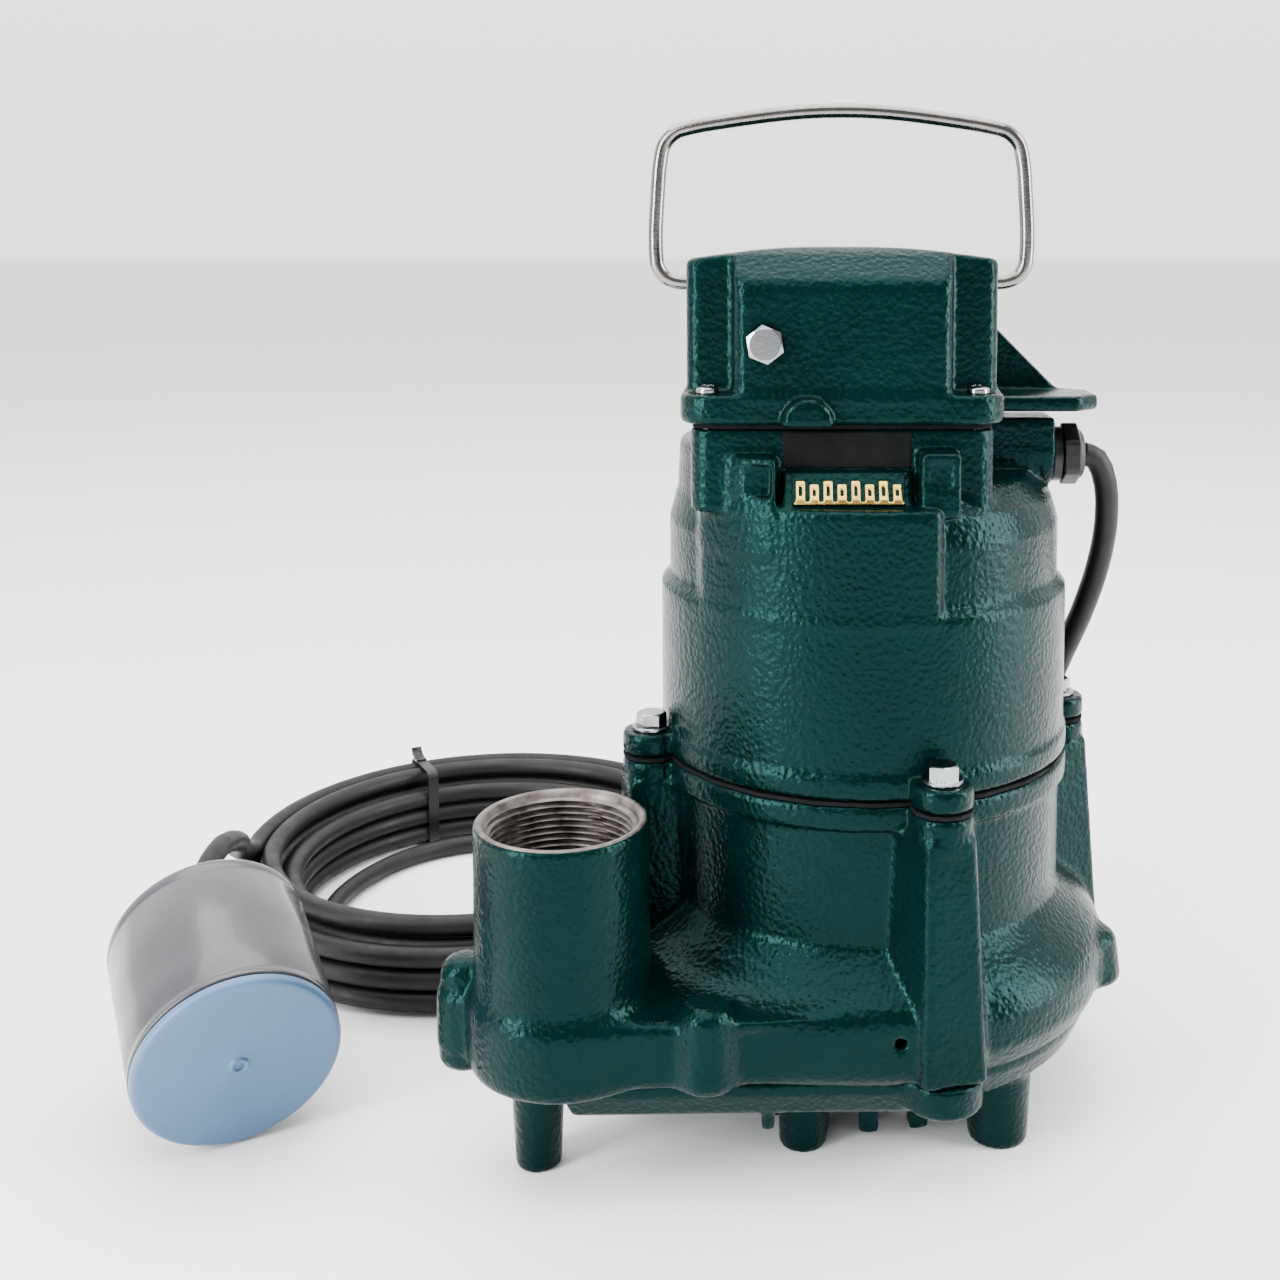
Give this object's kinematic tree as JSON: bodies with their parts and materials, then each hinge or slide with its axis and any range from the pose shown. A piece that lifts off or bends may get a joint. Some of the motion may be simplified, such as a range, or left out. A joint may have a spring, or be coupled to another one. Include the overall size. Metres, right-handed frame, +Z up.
{
  "type": "submersible sump pump",
  "caption": "Cast submersible sump pump on legs with threaded side discharge, wire bail handle, coiled cord and tethered cylindrical float switch.",
  "frame": {"origin": "on the floor, under the middle of the object's box, cords left out; the motor axis stands at x 0.0856, y 0.00295", "axes": "+Z up along the motor shaft, +X towards the cord gland's side, -Y towards the discharge's side, which is the front"},
  "size_m": [0.3615, 0.3311, 0.3497],
  "materials": {
    "green_enamel": "gloss, orange-peel texture",
    "bare_iron": "as cast",
    "zinc_steel": "zinc plated",
    "bearing_steel": "ground",
    "stainless_wire": "drawn, satin",
    "lamination_steel": "punched",
    "winding_copper": "varnished",
    "cage_bronze": "satin",
    "brass": "satin",
    "gasket_rubber": "matt",
    "cord_jacket": "satin",
    "black_plastic": "satin",
    "seal_ceramic": "polished",
    "impeller_plastic": "glass filled",
    "float_shell": "moulded",
    "float_end": "moulded"
  },
  "bodies": {
    "pump": {"base_plate": "green_enamel", "base_screw_1": "zinc_steel", "base_screw_2": "zinc_steel", "base_screw_3": "zinc_steel", "base_screw_4": "zinc_steel", "cap_gasket": "gasket_rubber", "cap_screw_1": "zinc_steel", "cap_screw_2": "zinc_steel", "cap_screw_3": "zinc_steel", "cap_screw_4": "zinc_steel", "coil_tie": "black_plastic", "float_cord_coil": "cord_jacket", "float_cord_lead": "cord_jacket", "float_cord_tail": "cord_jacket", "float_plug": "black_plastic", "float_plug_pins": "brass", "gland_body": "black_plastic", "gland_nut": "black_plastic", "hex_plug": "zinc_steel", "housing_bolt_1": "zinc_steel", "housing_bolt_2": "zinc_steel", "housing_bolt_3": "zinc_steel", "housing_bolt_4": "zinc_steel", "lower_bearing_outer_race": "bearing_steel", "lower_winding": "winding_copper", "motor_gasket": "gasket_rubber", "motor_housing": "green_enamel", "name_plate": "brass", "power_cord_coil": "cord_jacket", "power_cord_lead": "cord_jacket", "power_cord_tail": "cord_jacket", "power_plug": "black_plastic", "power_plug_pins": "brass", "pump_housing": "green_enamel", "seal_plate": "bare_iron", "seal_seat": "seal_ceramic", "stator_core": "lamination_steel", "thermal_protector": "black_plastic", "top_cap": "green_enamel", "upper_bearing_outer_race": "bearing_steel", "upper_winding": "winding_copper"},
    "rotor": {"shaft": "bearing_steel", "rotor_core": "lamination_steel", "impeller": "impeller_plastic", "impeller_nut": "zinc_steel", "lower_bearing_inner_race": "bearing_steel", "upper_bearing_inner_race": "bearing_steel", "seal_head": "gasket_rubber", "seal_spring": "stainless_wire"},
    "lower_cage": {"lower_bearing_cage": "cage_bronze"},
    "upper_cage": {"upper_bearing_cage": "cage_bronze"},
    "handle": {"carry_handle": "stainless_wire"},
    "float": {"float_body": "float_shell", "float_cap": "float_end", "float_gland": "black_plastic", "ball_track": "black_plastic", "float_switch": "black_plastic"},
    "switch_ball": {"float_ball": "bearing_steel"}
  },
  "joints": [
    {"name": "rotor_spin", "type": "hinge", "parent": "pump", "child": "rotor", "pos_m": [0.0856, 0.00295, 0.1], "axis": [0, 0, 1], "continuous": true},
    {"name": "lower_cage_spin", "type": "hinge", "parent": "pump", "child": "lower_cage", "pos_m": [0.0856, 0.00295, 0.0878], "axis": [0, 0, 1], "continuous": true},
    {"name": "upper_cage_spin", "type": "hinge", "parent": "pump", "child": "upper_cage", "pos_m": [0.0856, 0.00295, 0.216], "axis": [0, 0, 1], "continuous": true},
    {"name": "handle_swing", "type": "hinge", "parent": "pump", "child": "handle", "pos_m": [0.0776, 0.00295, 0.287], "axis": [1, 0, 0], "range_deg": [-75, 75]},
    {"name": "float_swing", "type": "hinge", "parent": "pump", "child": "float", "pos_m": [-0.16021, 0.00797, 0.05623], "axis": [-0.8746, -0.4848, 0], "range_deg": [0, 60]},
    {"name": "ball_roll", "type": "slide", "parent": "float", "child": "switch_ball", "axis": [-0.4648, 0.8386, 0.284], "range_m": [0, 0.02]}
  ],
  "couplings": [
    {"joint": "lower_cage_spin", "follows": "rotor_spin", "ratio": 0.4},
    {"joint": "upper_cage_spin", "follows": "rotor_spin", "ratio": 0.4}
  ]
}
